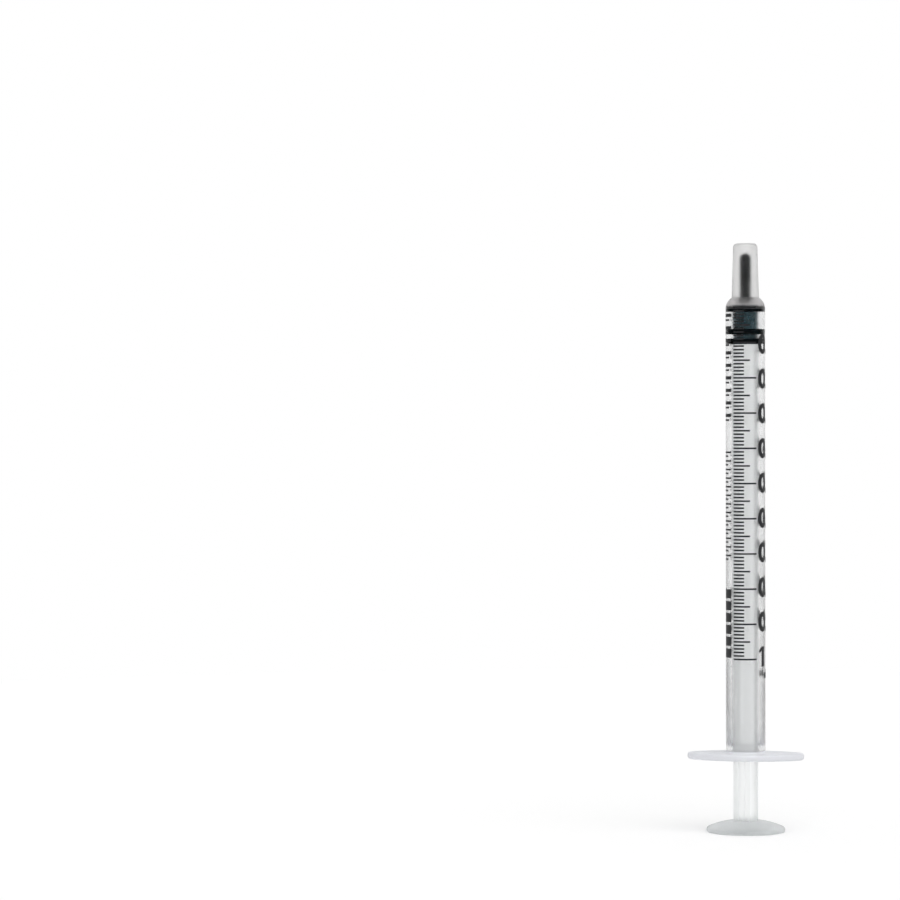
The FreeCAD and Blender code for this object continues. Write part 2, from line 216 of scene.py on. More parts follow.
class StopperSizes(bpy.types.PropertyGroup):
    squeeze: length("Squeeze", "How far the rings press into the wall of the bore", 0.02 * MM)
    ring_width: length("Ring width", "Width of each sealing ring", 0.97 * MM)
    ring_edge: length("Ring rounding", "Rounding of the edges of the rings", 0.13 * MM)
    groove_width: length("Groove width", "Between the rear and the middle ring", 0.61 * MM)
    groove_radius: length("Groove radius", "Radius of that groove", 1.95 * MM)
    waist_length: length("Waist length", "Between the middle and the front ring", 2.72 * MM)
    waist_radius: length("Waist radius", "Radius of the waist", 2.07 * MM)
    nose_radius: length("Nose radius", "Radius of the nose", 0.92 * MM)
    nose_point: length("Nose rounding", "Rounding of the end of the nose", 0.85 * MM)
    socket_gap: length("Socket gap", "Between the barbed head and the socket", 0.05 * MM)


class PrintSizes(bpy.types.PropertyGroup):
    scale_turn: angle("Scale turn", "Turn of the scale's middle from the flange's broad side", 5.0)
    mark_height: length("Line height", "Height of a graduation line", 0.27 * MM)
    ink: length("Ink thickness", "How far the ink stands proud of the tube", 0.03 * MM)
    number_height: length("Number height", "Height of the numbers", 3.0 * MM)
    number_weight: length("Number weight", "Swell of the strokes of the numbers", 0.17 * MM)
    number_drop: length("Number drop", "How far the numbers start below their lines", 0.26 * MM)
    number_creep: length("Number creep", "How much closer than the lines the numbers stand", 0.066 * MM)
    number_start: angle("Number start", "Left edge of the numbers from the middle of the scale", 39.5)
    one_start: angle("Last number start", "Left edge of the last number from the middle of the scale", 53.0)
    unit_height: length("Unit height", "Height of the unit below the last number", 1.2 * MM)
    unit_start: angle("Unit start", "Left edge of the unit from the middle of the scale", 66.0)
    unit_drop: length("Unit drop", "From the last line down to the middle of the unit", 2.5 * MM)
    flag_length: length("Flag length", "Length of the flag of the last number", 0.9 * MM)
    flag_width: length("Flag width", "Width of that flag", 0.42 * MM)
    bar_start: angle("Side bar start", "Left edge of the side bars from the middle of the scale", -80.0)
    bar_sweep: angle("Side bar sweep", "Width of the side bars round the tube", 34.0)


class Finishes(bpy.types.PropertyGroup):
    tube_colour: colour("Tube", "Tint of the outside of the tube", (0.98, 0.985, 0.99))
    bore_colour: colour("Bore", "Tint of the bore and the channel", (0.99, 0.99, 0.99))
    # The tip and shoulder colours are darkened to paint the shade that refraction through the thick plastic
    # gives them
    tip_colour: colour("Tip", "Tint of the outside of the tip", (0.84, 0.84, 0.835))
    shoulder_colour: colour("Shoulder", "Tint of the outside of the shoulder", (0.70, 0.685, 0.685))
    flange_colour: colour("Flange", "Tint of the finger flange", (0.92, 0.93, 0.97))
    rod_colour: colour("Plunger rod", "Tint of the plunger rod", (0.98, 0.99, 0.99))
    # The thumb rest's darker tint is painted shade
    rest_shade_colour: colour("Thumb rest", "Tint of the thumb rest", (0.75, 0.77, 0.775))
    # The stopper colour is lighter than the rubber to paint a sheen; the darker skins scale it down to the
    # rubber's black
    rubber_colour: colour("Rubber", "Colour of the stopper", (0.016, 0.058, 0.074))
    ink_colour: colour("Ink", "Colour of the print", (0.015, 0.016, 0.018))
    floor_colour: colour("Floor", "Colour of the floor", (0.9, 0.9, 0.9))


class StageSizes(bpy.types.PropertyGroup):
    floor_radius: length("Floor radius", "Radius of the floor", 0.35)
    floor_glow: share("Floor glow", "Light that the floor adds where it is seen", 0.12)
    camera_distance: length("Camera distance", "From the middle of the syringe", 0.6)
    camera_azimuth: angle("Camera azimuth", "Turn of the camera round the syringe", 5.0)
    camera_elevation: angle("Camera elevation", "Height of the camera as an angle", 2.34)
    camera_yaw: angle("Camera yaw", "Turn away from the syringe to the left", 4.648)
    camera_pitch: angle("Camera pitch", "Tilt upwards", 1.38)
    camera_roll: angle("Camera roll", "Roll about the line of sight", 0.054)
    lens: FloatProperty(name="Focal length", description="In millimetres", default=145.4, unit="CAMERA")
    ambient: FloatProperty(name="Ambient light", description="Strength of the light all round", default=0.75)
    front_level: share("Front level", "How bright the room in front looks in reflections", 0.05)
    sun: FloatProperty(name="Sun", description="Strength of the soft key light", default=0.9)
    sun_width: angle("Sun width", "Width of the key light as seen from the syringe", 60.0)
    sun_tilt: angle("Sun tilt", "Tilt of the key light from straight above", 32.0)
    sun_turn: angle("Sun turn", "Turn of the key light round the syringe", 35.0)


# Helpers for meshes


def spun(bm, outline, closed=False):
    """Turns an outline of (radius, height) points about the upright axis."""
    points = [bm.verts.new((radius, 0.0, height)) for radius, height in outline]
    pairs = list(zip(points, points[1:]))
    if closed:
        pairs.append((points[-1], points[0]))
    edges = [bm.edges.new(pair) for pair in pairs]
    bmesh.ops.spin(bm, geom=points + edges, cent=(0, 0, 0), axis=(0, 0, 1), angle=2 * math.pi,
                   steps=ROUND_STEPS, use_merge=True, use_duplicate=False)
    bmesh.ops.remove_doubles(bm, verts=bm.verts, dist=SAME_PLACE)


def rings_at(bm, radius, height):
    """Edges of the circle with this radius at this height."""
    def on_it(vert):
        off_height = abs(vert.co.z - height)
        off_radius = abs(math.hypot(vert.co.x, vert.co.y) - radius)
        return off_height < ON_RING and off_radius < ON_RING
    return [edge for edge in bm.edges if on_it(edge.verts[0]) and on_it(edge.verts[1])]


def rounded(bm, geometry, offset, segments=5, affect="EDGES"):
    """Rounds edges, or the corners of a flat outline."""
    bmesh.ops.bevel(bm, geom=geometry, offset=offset, offset_type="OFFSET", segments=segments, profile=0.5,
                    affect=affect, material=-1)


def bowed(start, end, rise):
    """Points of a shallow arch between two (radius, height) points, without the ends."""
    start, end = Vector(start), Vector(end)
    across = end - start
    side = Vector((across.y, -across.x)).normalized()
    points = []
    for number in range(1, ARC_STEPS):
        way = number / ARC_STEPS
        lift = 4 * rise * way * (1 - way)
        points.append(start + across * way + side * lift)
    return points


def pulled_up(bm):
    """Extrudes every face where it is, and returns the new vertices, which are still to be moved."""
    pulled = bmesh.ops.extrude_face_region(bm, geom=bm.faces[:])["geom"]
    return [item for item in pulled if isinstance(item, bmesh.types.BMVert)]


def finish_mesh(bm):
    """Points the faces outwards and shades them smooth up to the sharp angle."""
    bmesh.ops.remove_doubles(bm, verts=bm.verts, dist=SAME_PLACE)
    bmesh.ops.recalc_face_normals(bm, faces=bm.faces)
    for face in bm.faces:
        face.smooth = True
    for edge in bm.edges:
        edge.smooth = len(edge.link_faces) == 2 and edge.calc_face_angle(math.pi) < SHARP_ANGLE


def add_object(bm, name):
    """Makes an object of a bmesh and frees the bmesh."""
    mesh = bpy.data.meshes.new(name)
    bm.to_mesh(mesh)
    bm.free()
    piece = bpy.data.objects.new(name, mesh)
    bpy.context.scene.collection.objects.link(piece)
    return piece


def evaluated(piece):
    """A bmesh of what an object looks like with its modifiers or its lettering."""
    bpy.context.view_layer.update()
    mesh = bpy.data.meshes.new_from_object(piece.evaluated_get(bpy.context.evaluated_depsgraph_get()))
    bm = bmesh.new()
    bm.from_mesh(mesh)
    bpy.data.meshes.remove(mesh)
    return bm


def joined(name, meshes):
    """One closed object from several closed meshes that overlap."""
    parts = [add_object(bm, f"{name}_{number}") for number, bm in enumerate(meshes)]
    first = parts[0]
    for other in parts[1:]:
        union = first.modifiers.new("union", "BOOLEAN")
        union.operation = "UNION"
        union.solver = "EXACT"
        union.object = other
    bm = evaluated(first)
    for part in parts:
        bpy.data.objects.remove(part)
    finish_mesh(bm)
    return add_object(bm, name)


def dress(piece, materials, body, slot, *nodes):
    """Gives a piece its materials and its body, and hides the CAD nodes that it stands for. The slot is not
    used.
    """
    for material in materials:
        piece.data.materials.append(material)
    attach(piece, body)
    if nodes:
        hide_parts(*nodes)


# Helpers for materials


def new_material(name):
    """A new material, with its node tree and its shader."""
    material = bpy.data.materials.new(name)
    material.use_nodes = True
    tree = material.node_tree
    return material, tree, tree.nodes["Principled BSDF"]


def set_sockets(node, values):
    """Sets plain values on a node's own sockets."""
    for socket, value in values.items():
        node.inputs[socket].default_value = value


def noise(tree, scale, draw=1.0, detail=1.0):
    """Noise on the piece's own coordinates. A draw below one pulls its cells out along the height."""
    place = tree.nodes.new("ShaderNodeTexCoord")
    mapping = tree.nodes.new("ShaderNodeMapping")
    texture = tree.nodes.new("ShaderNodeTexNoise")
    set_sockets(mapping, {"Scale": (1.0, 1.0, draw)})
    set_sockets(texture, {"Scale": scale, "Detail": detail})
    tree.links.new(place.outputs["Object"], mapping.inputs["Vector"])
    tree.links.new(mapping.outputs["Vector"], texture.inputs["Vector"])
    return texture.outputs["Fac"]


def one_axis(tree, coordinates, axis):
    """One axis of the coordinates of this kind."""
    place = tree.nodes.new("ShaderNodeTexCoord")
    split = tree.nodes.new("ShaderNodeSeparateXYZ")
    tree.links.new(place.outputs[coordinates], split.inputs["Vector"])
    return split.outputs[axis]


def ranged(tree, source, low, high, span=NOISE_SPAN, way="LINEAR"):
    """Spreads a span of the source from low to high."""
    spread = tree.nodes.new("ShaderNodeMapRange")
    spread.interpolation_type = way
    set_sockets(spread, {"From Min": span[0], "From Max": span[1], "To Min": low, "To Max": high})
    tree.links.new(source, spread.inputs["Value"])
    return spread.outputs["Result"]


def tinted(tree, source, first, second, span=NOISE_SPAN):
    """Colours a span of the source from the first tint to the second."""
    ramp = tree.nodes.new("ShaderNodeValToRGB")
    for stop, place, tint in zip(ramp.color_ramp.elements, span, (first, second)):
        stop.position = place
        stop.color = (*tint, 1.0)
    tree.links.new(source, ramp.inputs["Fac"])
    return ramp.outputs["Color"]


def scaled(tint, factor):
    """A tint made darker or lighter."""
    return tuple(channel * factor for channel in tint)


def grey(level):
    """A grey with the fourth channel that sockets take."""
    return (level, level, level, 1.0)


def polypropylene(name, tint, satin, clearness, glint):
    """Clear polypropylene with faint streaks along the draw of the mould."""
    material, tree, shader = new_material(name)
    # The tint holds painted shade in the tip and shoulder zones
    streaks = tinted(tree, noise(tree, CLOUDS, draw=0.12), scaled(tint, 0.985), tint)
    skin = ranged(tree, noise(tree, SATIN_GRAIN), satin * 0.85, satin * 1.15)
    tree.links.new(streaks, shader.inputs["Base Color"])
    tree.links.new(skin, shader.inputs["Roughness"])
    set_sockets(shader, {
        "Transmission Weight": clearness,
        "Specular Tint": grey(glint),
        "IOR": BARREL_IOR,
    })
    return material


def natural_plastic():
    """Natural polypropylene with a satin skin: milky in the rod, and greyer in the thumb rest by painted
    shade.
    """
    finish = bpy.context.scene.syringe_finishes
    crown = bpy.context.scene.syringe_rod.rest_crown
    material, tree, shader = new_material("natural_polypropylene")
    # Below the crown the tint turns to the thumb rest's colour, which is painted shade
    above = ranged(tree, one_axis(tree, "Object", "Z"), 0.0, 1.0, (crown * 0.8, crown * 1.4), "SMOOTHSTEP")
    tint = tinted(tree, above, finish.rest_shade_colour, finish.rod_colour, (0.0, 1.0))
    streaks = tinted(tree, noise(tree, CLOUDS, draw=0.2), (0.98, 0.98, 0.98), (1.0, 1.0, 1.0))
    skin = ranged(tree, noise(tree, SATIN_GRAIN), 0.38, 0.46)
    shade = tree.nodes.new("ShaderNodeMix")
    shade.data_type = "RGBA"
    shade.blend_type = "MULTIPLY"
    set_sockets(shade, {"Factor": 1.0})
    tree.links.new(tint, shade.inputs[FIRST_COLOUR])
    tree.links.new(streaks, shade.inputs[SECOND_COLOUR])
    tree.links.new(shade.outputs[MIXED_COLOUR], shader.inputs["Base Color"])
    tree.links.new(skin, shader.inputs["Roughness"])
    set_sockets(shader, {"Transmission Weight": 0.9, "Specular Tint": grey(0.5), "IOR": ROD_IOR})
    return material


def black_rubber(name, darkness, gloss):
    """Black rubber with a film of silicone. Gloss is nought where it is pressed against the wall. At a
    darkness of one the colour is lighter than the black rubber, which paints a sheen.
    """
    material, tree, shader = new_material(name)
    tint = scaled(bpy.context.scene.syringe_finishes.rubber_colour, darkness)
    grain = noise(tree, RUBBER_GRAIN)
    tree.links.new(tinted(tree, grain, scaled(tint, 0.7), tint), shader.inputs["Base Color"])
    tree.links.new(ranged(tree, grain, 0.3, 0.4), shader.inputs["Roughness"])
    set_sockets(shader, {"IOR": RUBBER_IOR, "Specular IOR Level": gloss})
    return material


def black_ink():
    """Screen-printed ink, dense and slightly uneven."""
    material, tree, shader = new_material("printed_ink")
    tint = bpy.context.scene.syringe_finishes.ink_colour
    grain = noise(tree, INK_GRAIN, detail=4.0)
    tree.links.new(tinted(tree, grain, tint, scaled(tint, 1.6)), shader.inputs["Base Color"])
    tree.links.new(ranged(tree, grain, 0.4, 0.6), shader.inputs["Roughness"])
    set_sockets(shader, {"IOR": INK_IOR})
    return material


def ink():
    """The one material of all the print, made on its first use."""
    return bpy.data.materials.get("printed_ink") or black_ink()


# Barrel


def shoulder_arc(sizes, start, end):
    """Points of the shoulder, from the end of the tube up to just below the tip."""
    swing = math.asin((end - start) / sizes.shoulder_radius)
    points = []
    for number in range(ARC_STEPS):
        turn = swing * number / ARC_STEPS
        radius = sizes.tube_radius - sizes.shoulder_radius * (1 - math.cos(turn))
        points.append((radius, start + sizes.shoulder_radius * math.sin(turn)))
    return points


def wing_reach(direction, half_width, half_depth, end_radius):
    """Distance from the axis to the outline of the flange, which is four tangent arcs, in a direction."""
    end_place = half_width - end_radius
    side_radius = (end_place ** 2 + half_depth ** 2 - end_radius ** 2) / (2 * (half_depth - end_radius))
    side_centre = side_radius - half_depth
    across, along = abs(math.cos(direction)), abs(math.sin(direction))
    end_starts = math.atan2(side_centre, end_place)
    meeting = (end_place + end_radius * math.cos(end_starts), end_radius * math.sin(end_starts))
    if math.atan2(along, across) > math.atan2(meeting[1], meeting[0]):
        return -side_centre * along + math.sqrt(side_radius ** 2 - (side_centre * across) ** 2)
    return end_place * across + math.sqrt(end_radius ** 2 - (end_place * along) ** 2)


def add_flange(bm, sizes, rear, front):
    """Grows the finger flange out of the two open rings that the tube ends in."""
    half_width, half_depth = BARREL_HIGH.x, BARREL_HIGH.y
    lips = rings_at(bm, sizes.tube_radius, front) + rings_at(bm, sizes.tube_radius, rear)
    grown = bmesh.ops.extrude_edge_only(bm, edges=lips)["geom"]
    for vert in (item for item in grown if isinstance(item, bmesh.types.BMVert)):
        direction = math.atan2(vert.co.y, vert.co.x)
        reach = wing_reach(direction, half_width, half_depth, sizes.flange_end_radius)
        vert.co = Vector((reach * math.cos(direction), reach * math.sin(direction), vert.co.z))
    rims = [item for item in grown if isinstance(item, bmesh.types.BMEdge) and item.is_boundary]
    bmesh.ops.bridge_loops(bm, edges=rims)
    rounded(bm, rims, sizes.flange_edge, segments=6)
    rounded(bm, rings_at(bm, sizes.tube_radius, front), sizes.flange_root, segments=4)


def zone_of(face, sizes, flange_front, shoulder_start, tip_base):
    """Name of the zone of the barrel that a face is in."""
    centre = face.calc_center_median()
    if face.normal.xy.dot(centre.xy) < -LEAN_IN * centre.xy.length:
        return "bore"
    if centre.z > tip_base:
        return "tip"
    if centre.z > shoulder_start:
        return "shoulder"
    return "flange" if centre.z < flange_front + sizes.flange_root else "tube"


class AddBarrel(bpy.types.Operator):
    """Adds the clear barrel with its tapered tip, shoulder, bore and oval finger flange"""
    bl_idname = "syringe.add_barrel"
    bl_label = "Barrel"

    def execute(self, context):
        sizes = context.scene.syringe_barrel
        rear, tip_end = BARREL_LOW.z, BARREL_HIGH.z
        front = rear + sizes.flange_thickness
        bore_front = rear + sizes.bore_depth
        shoulder_start = bore_front - sizes.shoulder_setback
        tip_base = tip_end - sizes.tip_length
        bead = rear + sizes.bead_place
        bead_front = (sizes.bore_radius, bead + sizes.bead_length / 2)
        bead_rear = (sizes.bore_radius, bead - sizes.bead_length / 2)
        bm = bmesh.new()
        spun(bm, (
            (sizes.tube_radius, front),
            *shoulder_arc(sizes, shoulder_start, tip_base),
            (sizes.tip_base_radius, tip_base),
            (sizes.tip_end_radius, tip_end),
            (sizes.channel_radius, tip_end),
            (sizes.channel_radius, bore_front + sizes.bore_radius - sizes.channel_radius),
            (sizes.bore_radius, bore_front),
            bead_front,
            *bowed(bead_front, bead_rear, sizes.bead_height),
            bead_rear,
            (sizes.bore_radius, rear + sizes.mouth_chamfer),
            (sizes.bore_radius + sizes.mouth_chamfer, rear),
            (sizes.tube_radius, rear),
        ))
        rounded(bm, rings_at(bm, sizes.tip_end_radius, tip_end), sizes.tip_round)
        rounded(bm, rings_at(bm, sizes.channel_radius, tip_end), sizes.channel_round, segments=4)
        add_flange(bm, sizes, rear, front)
        finish_mesh(bm)
        zones = list(BARREL_ZONES)
        for face in bm.faces:
            face.material_index = zones.index(zone_of(face, sizes, front, shoulder_start, tip_base))
        piece = add_object(bm, "barrel_moulding")
        finish = context.scene.syringe_finishes
        # The tip and shoulder tints carry painted shade from refraction; the other zones keep their own tint
        plastics = [
            polypropylene(f"{zone}_polypropylene", getattr(finish, f"{zone}_colour"), *look)
            for zone, look in BARREL_ZONES.items()
        ]
        dress(piece, plastics, "barrel", "clear_plastic", "barrel")
        return {"FINISHED"}


# Plunger rod


def rib_cross(sizes, low, high):
    """Four ribs in a cross, drawn as one outline and pulled up."""
    bm = bmesh.new()
    half = sizes.rib_thickness / 2
    reach = math.sqrt(sizes.rib_radius ** 2 - half ** 2)
    inner, outer, corners = [], [], []
    for quarter in range(4):
        turn = Matrix.Rotation(sizes.rib_turn + quarter * math.pi / 2, 3, "Z")
        for x, y, kind in ((reach, -half, outer), (reach, half, outer), (half, half, inner)):
            vert = bm.verts.new(turn @ Vector((x, y, low)))
            kind.append(vert)
            corners.append(vert)
    bm.faces.new(corners)
    rounded(bm, inner, sizes.rib_root, affect="VERTICES")
    rounded(bm, outer, sizes.rib_edge, affect="VERTICES")
    bmesh.ops.translate(bm, verts=pulled_up(bm), vec=(0, 0, high - low))
    bmesh.ops.recalc_face_normals(bm, faces=bm.faces)
    return bm


def thumb_rest(sizes, radius, low):
    """A round plate with a domed inner side and grip rings on its outer face."""
    rim = (radius, low + sizes.rest_rim)
    crown = (sizes.rib_radius, low + sizes.rest_crown)
    outline = [(0.0, low)]
    for number in range(GRIP_RINGS):
        middle = (number + 1) * sizes.grip_pitch
        outline += [
            (middle - sizes.grip_width / 2, low),
            (middle, low + sizes.grip_depth),
            (middle + sizes.grip_width / 2, low),
        ]
    outline += [(radius, low), rim, *bowed(rim, crown, sizes.rest_bow), crown]
    outline.append((0.0, low + sizes.rest_crown))
    bm = bmesh.new()
    spun(bm, outline)
    rounded(bm, rings_at(bm, *rim) + rings_at(bm, radius, low), sizes.rest_edge)
    bmesh.ops.recalc_face_normals(bm, faces=bm.faces)
    return bm


def rod_head(sizes, stopper_rear):
    """The disc that pushes the stopper, with the neck and the barbed head."""
    disc_rear = stopper_rear - sizes.disc_thickness
    neck_front = stopper_rear + sizes.neck_length
    bm = bmesh.new()
    spun(bm, (
        (0.0, disc_rear),
        (sizes.disc_radius, disc_rear),
        (sizes.disc_radius, stopper_rear),
        (sizes.neck_radius, stopper_rear),
        (sizes.neck_radius, neck_front),
        (sizes.barb_radius, neck_front),
        (sizes.barb_end_radius, neck_front + sizes.barb_length),
        (0.0, neck_front + sizes.barb_length),
    ))
    rims = rings_at(bm, sizes.disc_radius, disc_rear) + rings_at(bm, sizes.disc_radius, stopper_rear)
    rounded(bm, rims, sizes.disc_edge, segments=3)
    bmesh.ops.recalc_face_normals(bm, faces=bm.faces)
    return bm


class AddPlungerRod(bpy.types.Operator):
    """Adds the plunger rod with its thumb rest, four ribs, disc and barbed head"""
    bl_idname = "syringe.add_plunger_rod"
    bl_label = "Plunger rod"

    def execute(self, context):
        sizes = context.scene.syringe_rod
        low, stopper_rear = ROD_LOW.z, STOPPER_LOW.z
        ribs = rib_cross(sizes, low + sizes.rest_rim, stopper_rear - sizes.disc_thickness / 2)
        rest = thumb_rest(sizes, ROD_HIGH.x, low)
        piece = joined("rod_moulding", (rest, ribs, rod_head(sizes, stopper_rear)))
        dress(piece, [natural_plastic()], "plunger", "natural_plastic", "plunger_rod")
        return {"FINISHED"}


# Stopper


class AddStopper(bpy.types.Operator):
    """Adds the black stopper with its three sealing rings, waist, cone and long nose"""
    bl_idname = "syringe.add_stopper"
    bl_label = "Stopper"

    def execute(self, context):
        sizes = context.scene.syringe_stopper
        rod = context.scene.syringe_rod
        rear, nose_end = STOPPER_LOW.z, STOPPER_HIGH.z
        ring_radius = context.scene.syringe_barrel.bore_radius + sizes.squeeze
        rear_ring = rear + sizes.ring_width
        middle_ring = rear_ring + sizes.groove_width
        waist = middle_ring + sizes.ring_width
        front_ring = waist + sizes.waist_length
        front = front_ring + sizes.ring_width
        socket = rod.neck_radius + sizes.socket_gap
        neck_front = rear + rod.neck_length - sizes.socket_gap
        barb_front = rear + rod.neck_length + rod.barb_length + sizes.socket_gap
        cone_radius = STOPPER_HIGH.x - sizes.ring_edge
        bm = bmesh.new()
        spun(bm, (
            (socket, rear),
            (ring_radius, rear),
            (ring_radius, rear_ring),
            (sizes.groove_radius, rear_ring),
            (sizes.groove_radius, middle_ring),
            (ring_radius, middle_ring),
            (ring_radius, waist),
            (sizes.waist_radius, waist),
            (sizes.waist_radius, front_ring),
            (ring_radius, front_ring),
            (ring_radius, front),
            (cone_radius, front),
            (sizes.nose_radius, front + cone_radius - sizes.nose_radius),
            (sizes.nose_radius, nose_end),
            (0.0, nose_end),
            (0.0, barb_front),
            (rod.barb_end_radius + sizes.socket_gap, barb_front),
            (rod.barb_radius + sizes.socket_gap, neck_front),
            (socket, neck_front),
        ), closed=True)
        for height in (rear, rear_ring, middle_ring, waist, front_ring, front):
            rounded(bm, rings_at(bm, ring_radius, height), sizes.ring_edge, segments=4)
        rounded(bm, rings_at(bm, sizes.nose_radius, nose_end), sizes.nose_point, segments=8)
        finish_mesh(bm)
        # Faces that are neither pressed nor nose keep the siliconed skin, whose lighter colour paints the
        # sheen
        skins = list(RUBBER_SKINS)
        pressed = ring_radius - sizes.squeeze * 2
        for face in bm.faces:
            if min(vert.co.xy.length for vert in face.verts) > pressed:
                face.material_index = skins.index("pressed")
            elif face.calc_center_median().z > front:
                face.material_index = skins.index("nose")
        piece = add_object(bm, "rubber_stopper")
        rubbers = [black_rubber(f"{skin}_rubber", *look) for skin, look in RUBBER_SKINS.items()]
        dress(piece, rubbers, "plunger", "rubber", "stopper")
        return {"FINISHED"}


# Print


def wrapped(bm, flat, start):
    """Adds a flat print, cut into narrow strips, bent round the tube and as thick as the ink.

    The start is the angle of the print's own nought from the middle of the scale.
    """
    sizes = bpy.context.scene.syringe_print
    radius = bpy.context.scene.syringe_barrel.tube_radius
    scale_middle = sizes.scale_turn - math.pi / 2
    strip = STRIP_ANGLE * radius
    reach = [vert.co.x for vert in flat.verts]
    for number in range(math.floor(min(reach) / strip), math.ceil(max(reach) / strip)):
        bmesh.ops.bisect_plane(flat, geom=flat.verts[:] + flat.edges[:] + flat.faces[:],
                               plane_co=(number * strip, 0, 0), plane_no=(1, 0, 0))
    tops = set(pulled_up(flat))
    for vert in flat.verts:
        turn = scale_middle + start + vert.co.x / radius
        lift = radius + sizes.ink * (1 if vert in tops else -INK_BELOW)
        vert.co = Vector((lift * math.cos(turn), lift * math.sin(turn), vert.co.y))
    mesh = bpy.data.meshes.new("print")
    flat.to_mesh(mesh)
    flat.free()
    bm.from_mesh(mesh)
    bpy.data.meshes.remove(mesh)


def lettered(bm, text, height, weight, start, middle):
    """Adds a word or number, its left edge at an angle and its middle at a height."""
    curve = bpy.data.curves.new("lettering", "FONT")
    curve.body = text
    curve.size = 1.0
    curve.resolution_u = LETTER_STEPS
    holder = bpy.data.objects.new("lettering", curve)
    bpy.context.scene.collection.objects.link(holder)
    bpy.context.view_layer.update()
    curve.size = height / holder.dimensions.y
    curve.offset = weight
    letters = evaluated(holder)
    bpy.data.objects.remove(holder)
    bpy.data.curves.remove(curve)
    bmesh.ops.remove_doubles(letters, verts=letters.verts, dist=SAME_PLACE)
    left = min(vert.co.x for vert in letters.verts)
    low = min(vert.co.y for vert in letters.verts)
    high = max(vert.co.y for vert in letters.verts)
    bmesh.ops.translate(letters, verts=letters.verts, vec=(-left, middle - (low + high) / 2, 0))
    wrapped(bm, letters, start)


def barred(bm, width, height, start, middle, tilt=0.0):
    """Adds a plain bar, its middle at an angle and a height."""
    bar = bmesh.new()
    bmesh.ops.create_grid(bar, x_segments=1, y_segments=1, size=0.5)
    bmesh.ops.scale(bar, vec=(width, height, 1), verts=bar.verts)
    bmesh.ops.rotate(bar, cent=(0, 0, 0), matrix=Matrix.Rotation(tilt, 3, "Z"), verts=bar.verts)
    bmesh.ops.translate(bar, verts=bar.verts, vec=(0, middle, 0))
    wrapped(bm, bar, start)


class InkScaleMarks(bpy.types.Operator):
    """Gives the graduation lines their ink"""
    bl_idname = "syringe.ink_scale_marks"
    bl_label = "Graduation lines"

    def execute(self, context):
        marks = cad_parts["scale_marks"]
        marks.data.materials.clear()
        marks.data.materials.append(ink())
        return {"FINISHED"}


class AddNumbers(bpy.types.Operator):
    """Adds the numbers of the scale and its unit, wrapped round the tube"""
    bl_idname = "syringe.add_numbers"
    bl_label = "Numbers and unit"

    def execute(self, context):
        sizes = context.scene.syringe_print
        radius = context.scene.syringe_barrel.tube_radius
        zero = MARKS_HIGH.z - sizes.mark_height / 2
        one = MARKS_LOW.z + sizes.mark_height / 2
        middles = [
            zero + (one - zero) * tenth / TENTHS - sizes.number_drop + sizes.number_creep * tenth
            for tenth in range(TENTHS + 1)
        ]
        bm = bmesh.new()
        for tenth in range(1, TENTHS):
            lettered(bm, f"0.{tenth}", sizes.number_height, sizes.number_weight, sizes.number_start,
                     middles[tenth])
        lettered(bm, "1", sizes.number_height, sizes.number_weight, sizes.one_start, middles[TENTHS])
        barred(bm, sizes.flag_length, sizes.flag_width,
               sizes.one_start - sizes.flag_length * FLAG_LEFT / radius,
               middles[TENTHS] + sizes.number_height / 2 - sizes.flag_length * FLAG_DOWN, FLAG_TILT)
        lettered(bm, "mL", sizes.unit_height, sizes.number_weight / 2, sizes.unit_start,
                 one - sizes.unit_drop)
        finish_mesh(bm)
        piece = add_object(bm, "scale_numbers")
        dress(piece, [ink()], "barrel", "ink")
        return {"FINISHED"}


class AddSideBars(bpy.types.Operator):
    """Adds a column of plain bars beside the scale"""
    bl_idname = "syringe.add_side_bars"
    bl_label = "Side bars"

    def execute(self, context):
        sizes = context.scene.syringe_print
        radius = context.scene.syringe_barrel.tube_radius
        bm = bmesh.new()
        for top, count, cell in SIDE_BARS:
            place = top
            for tall, gap, width in cell * count:
                sweep = sizes.bar_sweep * width
                barred(bm, sweep * radius, tall * MM, sizes.bar_start + sweep / 2, (place - tall / 2) * MM)
                place -= tall + gap
        finish_mesh(bm)
        piece = add_object(bm, "side_bars")
        dress(piece, [ink()], "barrel", "ink")
        return {"FINISHED"}


# Stage


def light_path(tree, *kinds):
    """One where a ray is of any of these kinds, otherwise nought."""
    path = tree.nodes.new("ShaderNodeLightPath")
    total = path.outputs[kinds[0]]
    for kind in kinds[1:]:
        either = tree.nodes.new("ShaderNodeMath")
        either.operation = "MAXIMUM"
        tree.links.new(total, either.inputs[0])
        tree.links.new(path.outputs[kind], either.inputs[1])
        total = either.outputs[0]
    return total


def mixed(tree, factor, first, second):
    """Mixes two numbers, either of which may be a socket."""
    mix = tree.nodes.new("ShaderNodeMix")
    mix.data_type = "FLOAT"
    tree.links.new(factor, mix.inputs["Factor"])
    for socket, value in ((mix.inputs["A"], first), (mix.inputs["B"], second)):
        if isinstance(value, bpy.types.NodeSocket):
            tree.links.new(value, socket)
        else:
            socket.default_value = value
    return mix.outputs["Result"]


def make_world(stage):
    """White behind the syringe, a plain level all round, and a dim room in front in reflections."""
    world = bpy.data.worlds.new("studio")
    bpy.context.scene.world = world
    world.use_nodes = True
    tree = world.node_tree
    background = tree.nodes["Background"]
    set_sockets(background, {"Color": grey(1.0)})
    room = ranged(tree, one_axis(tree, "Generated", "Y"), stage.front_level, 1.0, (0.1, 1.0), "SMOOTHSTEP")
    reflected = mixed(tree, light_path(tree, "Is Glossy Ray"), stage.ambient, room)
    strength = mixed(tree, light_path(tree, "Is Camera Ray", "Is Transmission Ray"), reflected, 1.0)
    tree.links.new(strength, background.inputs["Strength"])


